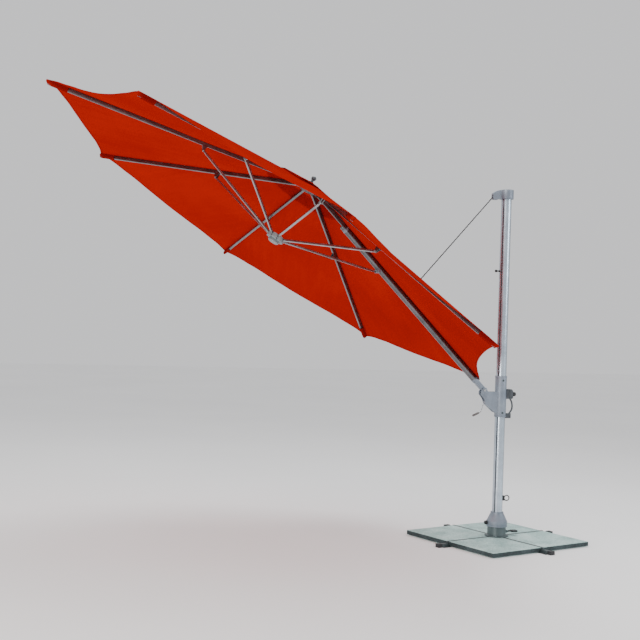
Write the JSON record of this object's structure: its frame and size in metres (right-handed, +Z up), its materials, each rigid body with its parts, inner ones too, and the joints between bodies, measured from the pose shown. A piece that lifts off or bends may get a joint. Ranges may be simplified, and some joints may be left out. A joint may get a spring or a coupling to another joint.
{
  "type": "patio umbrella with base",
  "caption": "Side-post cantilever patio umbrella: octagonal red fabric canopy on a tilting boom, turning aluminium mast, rope hoist, cross base loaded with paving slabs.",
  "frame": {"origin": "on the mast's axis at floor level, on the flat underside of the base's cross frame", "axes": "+Z up along the mast; the boom and canopy lean out towards -X; +Y to the left when looking from the canopy's side towards -X"},
  "size_m": [4.2751, 4.04, 3.4104],
  "materials": {
    "frame_paint": "satin",
    "slab_stone": "matte",
    "black_plastic": "matte",
    "socket_paint": "satin",
    "cast_grey": "satin",
    "mast_aluminium": "satin",
    "frame_aluminium": "satin",
    "grey_plastic": "matte",
    "bright_steel": "satin",
    "canopy_red": "matte",
    "cord_grey": "matte"
  },
  "bodies": {
    "base": {"cross_frame": "frame_paint", "slab_1": "slab_stone", "slab_2": "slab_stone", "slab_3": "slab_stone", "slab_4": "slab_stone", "end_cap_1": "black_plastic", "end_cap_2": "black_plastic", "end_cap_3": "black_plastic", "end_cap_4": "black_plastic", "base_socket": "socket_paint"},
    "pedal": {"foot_pedal": "black_plastic"},
    "post": {"turn_collar": "cast_grey", "mast_tube": "mast_aluminium", "mast_head": "cast_grey", "hook_knob": "black_plastic", "cleat_ring": "black_plastic", "boom_bracket": "cast_grey", "boom_pin": "bright_steel", "winch_housing": "grey_plastic", "grab_handle": "grey_plastic"},
    "clamp": {"clamp_knob": "black_plastic"},
    "pulley": {"head_pulley": "grey_plastic"},
    "winch": {"winch_knob": "black_plastic"},
    "crank": {"crank_arm": "bright_steel", "crank_grip": "black_plastic"},
    "boom": {"boom_neck": "frame_aluminium", "boom_tube": "frame_aluminium", "boom_foot": "cast_grey", "boom_clevis": "grey_plastic", "rope_eye": "bright_steel", "canopy_panel_0": "canopy_red"},
    "rope_guide": {"tilt_rope": "cord_grey"},
    "rope_tip": {"rope_ferrule": "bright_steel"},
    "clevis": {"rope_clevis": "bright_steel"},
    "crown": {"crown_hub": "cast_grey", "vent_cap": "canopy_red", "finial": "grey_plastic"},
    "rib_1": {"rib_1": "frame_aluminium", "canopy_panel_1": "canopy_red"},
    "rib_2": {"rib_2": "frame_aluminium", "canopy_panel_2": "canopy_red"},
    "rib_3": {"rib_3": "frame_aluminium", "canopy_panel_3": "canopy_red"},
    "rib_4": {"rib_4": "frame_aluminium", "canopy_panel_4": "canopy_red"},
    "rib_5": {"rib_5": "frame_aluminium", "canopy_panel_5": "canopy_red"},
    "rib_6": {"rib_6": "frame_aluminium", "canopy_panel_6": "canopy_red"},
    "rib_7": {"rib_7": "frame_aluminium", "canopy_panel_7": "canopy_red"},
    "strut_0": {"strut_0": "frame_aluminium"},
    "strut_1": {"strut_1": "frame_aluminium"},
    "strut_2": {"strut_2": "frame_aluminium"},
    "strut_3": {"strut_3": "frame_aluminium"},
    "strut_4": {"strut_4": "frame_aluminium"},
    "strut_5": {"strut_5": "frame_aluminium"},
    "strut_6": {"strut_6": "frame_aluminium"},
    "strut_7": {"strut_7": "frame_aluminium"},
    "lower_hub": {"lower_hub": "grey_plastic"}
  },
  "joints": [
    {"name": "mast_turn", "type": "hinge", "parent": "base", "child": "post", "pos_m": [0, 0, 0.1186], "axis": [0, 0, 1], "continuous": true},
    {"name": "pedal_press", "type": "hinge", "parent": "base", "child": "pedal", "pos_m": [0.088, 0, 0.076], "axis": [0, 1, 0], "range_deg": [0, 8], "stiffness_Nm_per_rad": 3, "springref_deg": -8.59},
    {"name": "clamp_knob_turn", "type": "hinge", "parent": "post", "child": "clamp", "pos_m": [-0.084, 0, 0.1499], "axis": [-1, 0, 0], "continuous": true},
    {"name": "pulley_turn", "type": "hinge", "parent": "post", "child": "pulley", "pos_m": [-0.104, 0, 2.764], "axis": [0, 1, 0], "continuous": true},
    {"name": "winch_turn", "type": "hinge", "parent": "post", "child": "winch", "pos_m": [0.098, 0, 1.184], "axis": [1, 0, 0], "continuous": true},
    {"name": "crank_turn", "type": "hinge", "parent": "post", "child": "crank", "pos_m": [-0.132, 0, 1.103], "axis": [-0.9135, 0, -0.4067], "continuous": true},
    {"name": "boom_tilt", "type": "hinge", "parent": "post", "child": "boom", "pos_m": [-0.15, 0, 1.215], "axis": [0, 1, 0], "range_deg": [-31.6, 0]},
    {"name": "rope_swing", "type": "hinge", "parent": "post", "child": "rope_guide", "pos_m": [-0.104, 0, 2.764], "axis": [0, 1, 0], "range_deg": [-3, 0]},
    {"name": "rope_pay", "type": "slide", "parent": "rope_guide", "child": "rope_tip", "axis": [-0.6578, 0, -0.7532], "range_m": [0, 0.546], "deforming": ["tilt_rope"]},
    {"name": "clevis_turn", "type": "hinge", "parent": "boom", "child": "clevis", "pos_m": [-0.8197, 0, 1.9657], "axis": [0, 1, 0], "range_deg": [0, 28.8]},
    {"name": "canopy_fold", "type": "hinge", "parent": "boom", "child": "crown", "pos_m": [-1.61548, 0, 2.71673], "axis": [0, -1, 0], "range_deg": [0, 68], "deforming": ["canopy_panel_0", "canopy_panel_1", "canopy_panel_2", "canopy_panel_3", "canopy_panel_4", "canopy_panel_5", "canopy_panel_6", "canopy_panel_7", "vent_cap"]},
    {"name": "strut_0_swing", "type": "hinge", "parent": "boom", "child": "strut_0", "pos_m": [-1.0867, 0, 2.12333], "axis": [0, -1, 0], "range_deg": [0, 136]},
    {"name": "rib_1_fold", "type": "hinge", "parent": "crown", "child": "rib_1", "pos_m": [-1.6292, 0.03889, 2.72517], "axis": [-0.6023, 0.7071, 0.3705], "range_deg": [0, 68]},
    {"name": "strut_1_swing", "type": "hinge", "parent": "rib_1", "child": "strut_1", "pos_m": [-1.29034, 0.57722, 2.24861], "axis": [0.6023, -0.7071, -0.3705], "range_deg": [0, 136]},
    {"name": "rib_2_fold", "type": "hinge", "parent": "crown", "child": "rib_2", "pos_m": [-1.66232, 0.055, 2.74555], "axis": [-0.8517, 0, 0.524], "range_deg": [0, 68]},
    {"name": "strut_2_swing", "type": "hinge", "parent": "rib_2", "child": "strut_2", "pos_m": [-1.78197, 0.81631, 2.55106], "axis": [0.8517, 0, -0.524], "range_deg": [0, 136]},
    {"name": "rib_3_fold", "type": "hinge", "parent": "crown", "child": "rib_3", "pos_m": [-1.69545, 0.03889, 2.76593], "axis": [-0.6023, -0.7071, 0.3705], "range_deg": [0, 68]},
    {"name": "strut_3_swing", "type": "hinge", "parent": "rib_3", "child": "strut_3", "pos_m": [-2.2736, 0.57722, 2.85352], "axis": [0.6023, 0.7071, -0.3705], "range_deg": [0, 136]},
    {"name": "rib_4_fold", "type": "hinge", "parent": "crown", "child": "rib_4", "pos_m": [-1.70917, 0, 2.77437], "axis": [0, -1, 0], "range_deg": [0, 68]},
    {"name": "strut_4_swing", "type": "hinge", "parent": "rib_4", "child": "strut_4", "pos_m": [-2.47724, 0, 2.9788], "axis": [0, 1, 0], "range_deg": [0, 136]},
    {"name": "rib_5_fold", "type": "hinge", "parent": "crown", "child": "rib_5", "pos_m": [-1.69545, -0.03889, 2.76593], "axis": [0.6023, -0.7071, -0.3705], "range_deg": [0, 68]},
    {"name": "strut_5_swing", "type": "hinge", "parent": "rib_5", "child": "strut_5", "pos_m": [-2.2736, -0.57722, 2.85352], "axis": [-0.6023, 0.7071, 0.3705], "range_deg": [0, 136]},
    {"name": "rib_6_fold", "type": "hinge", "parent": "crown", "child": "rib_6", "pos_m": [-1.66232, -0.055, 2.74555], "axis": [0.8517, 0, -0.524], "range_deg": [0, 68]},
    {"name": "strut_6_swing", "type": "hinge", "parent": "rib_6", "child": "strut_6", "pos_m": [-1.78197, -0.81631, 2.55106], "axis": [-0.8517, 0, 0.524], "range_deg": [0, 136]},
    {"name": "rib_7_fold", "type": "hinge", "parent": "crown", "child": "rib_7", "pos_m": [-1.6292, -0.03889, 2.72517], "axis": [0.6023, 0.7071, -0.3705], "range_deg": [0, 68]},
    {"name": "strut_7_swing", "type": "hinge", "parent": "rib_7", "child": "strut_7", "pos_m": [-1.29034, -0.57722, 2.24861], "axis": [-0.6023, -0.7071, 0.3705], "range_deg": [0, 136]},
    {"name": "lower_hub_turn", "type": "hinge", "parent": "strut_0", "child": "lower_hub", "pos_m": [-1.85478, 0, 2.32776], "axis": [0, 1, 0], "range_deg": [0, 68]}
  ],
  "couplings": [
    {"joint": "clevis_turn", "follows": "boom_tilt", "ratio": -0.90732},
    {"joint": "rope_swing", "follows": "boom_tilt", "ratio": 0.092682},
    {"joint": "rope_pay", "follows": "boom_tilt", "m_per_rad": -0.9845},
    {"joint": "strut_0_swing", "follows": "canopy_fold", "ratio": 2},
    {"joint": "rib_1_fold", "follows": "canopy_fold", "ratio": 1},
    {"joint": "strut_1_swing", "follows": "canopy_fold", "ratio": 2},
    {"joint": "rib_2_fold", "follows": "canopy_fold", "ratio": 1},
    {"joint": "strut_2_swing", "follows": "canopy_fold", "ratio": 2},
    {"joint": "rib_3_fold", "follows": "canopy_fold", "ratio": 1},
    {"joint": "strut_3_swing", "follows": "canopy_fold", "ratio": 2},
    {"joint": "rib_4_fold", "follows": "canopy_fold", "ratio": 1},
    {"joint": "strut_4_swing", "follows": "canopy_fold", "ratio": 2},
    {"joint": "rib_5_fold", "follows": "canopy_fold", "ratio": 1},
    {"joint": "strut_5_swing", "follows": "canopy_fold", "ratio": 2},
    {"joint": "rib_6_fold", "follows": "canopy_fold", "ratio": 1},
    {"joint": "strut_6_swing", "follows": "canopy_fold", "ratio": 2},
    {"joint": "rib_7_fold", "follows": "canopy_fold", "ratio": 1},
    {"joint": "strut_7_swing", "follows": "canopy_fold", "ratio": 2},
    {"joint": "lower_hub_turn", "follows": "canopy_fold", "ratio": 1}
  ]
}
